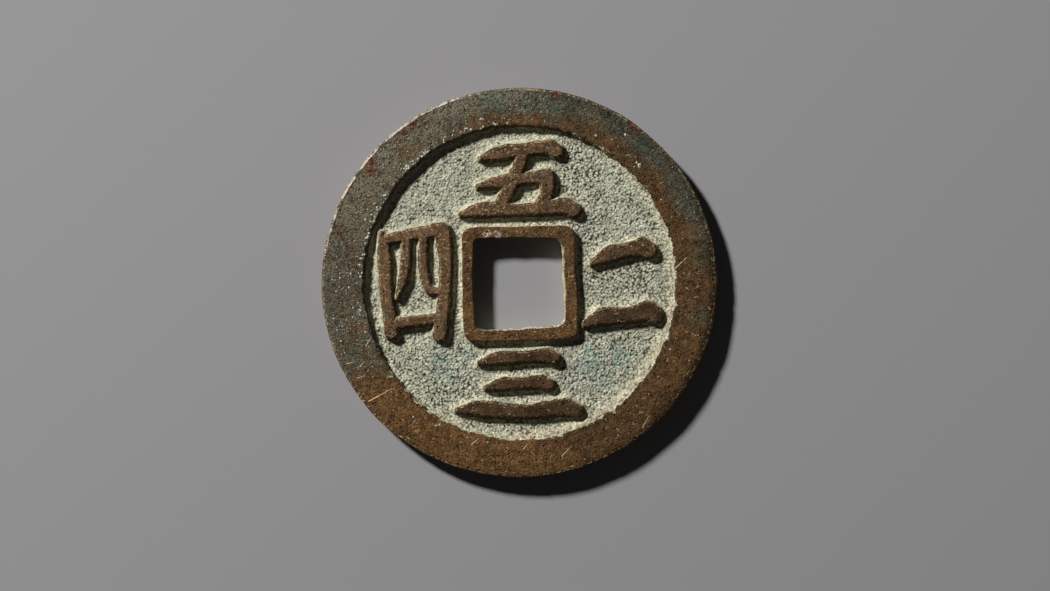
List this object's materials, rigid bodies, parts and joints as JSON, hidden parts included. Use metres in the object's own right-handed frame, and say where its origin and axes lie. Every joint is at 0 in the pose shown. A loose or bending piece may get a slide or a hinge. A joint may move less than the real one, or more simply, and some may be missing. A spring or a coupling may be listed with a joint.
{
  "type": "chinese cash coin",
  "caption": "Cast bronze cash coin: a disc with a square hole for stringing, a broad outer rim, a raised border round the hole and raised numerals.",
  "frame": {"origin": "middle of the square hole, on the plane that the coin rests on", "axes": "+Z out of the numbered obverse, along the thickness; +Y towards the top of the obverse"},
  "size_m": [0.0244, 0.0242, 0.0012],
  "materials": {
    "rim_bronze": "worn brown bronze with fine pits and a thin grey-green film",
    "crusted_field": "matt grey-green mineral crust, grainy as fine sand",
    "numeral_bronze": "worn brown bronze, finely pitted, crusted along its edges"
  },
  "bodies": {
    "root": {"outer_rim": "rim_bronze", "inner_rim": "rim_bronze", "field_web": "crusted_field", "numeral_five": "numeral_bronze", "numeral_two_upper_stroke": "numeral_bronze", "numeral_two_lower_stroke": "numeral_bronze", "numeral_three_upper_stroke": "numeral_bronze", "numeral_three_middle_stroke": "numeral_bronze", "numeral_three_lower_stroke": "numeral_bronze", "numeral_four": "numeral_bronze"}
  },
  "joints": []
}
